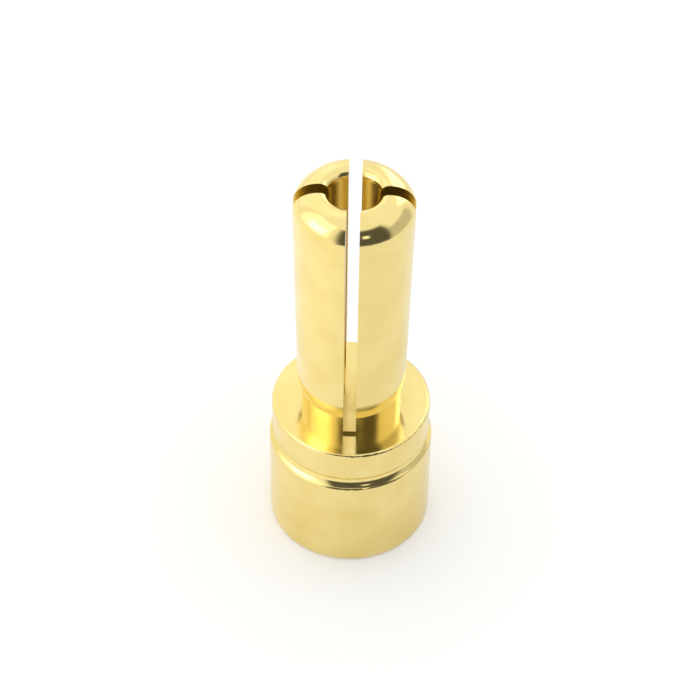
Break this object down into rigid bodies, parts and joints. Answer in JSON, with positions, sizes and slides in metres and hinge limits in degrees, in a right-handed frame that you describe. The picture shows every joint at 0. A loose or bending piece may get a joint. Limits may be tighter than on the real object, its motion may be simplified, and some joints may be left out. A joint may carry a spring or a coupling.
{
  "type": "banana plug",
  "caption": "Gold-plated bullet style banana plug: cross-slotted sprung barrel with a rounded nose, a ring collar, and a solder cup at the rear.",
  "frame": {"origin": "centre of the rear face, at the mouth of the solder cup", "axes": "+Z along the plug's axis, from the solder cup towards the rounded tip; the two saw cuts lie in the XZ and YZ planes"},
  "size_m": [0.0052, 0.0052, 0.0138],
  "materials": {
    "gold_plate": "bright gold plating over turned brass"
  },
  "bodies": {
    "root": {"banana_plug": "gold_plate"}
  },
  "joints": []
}
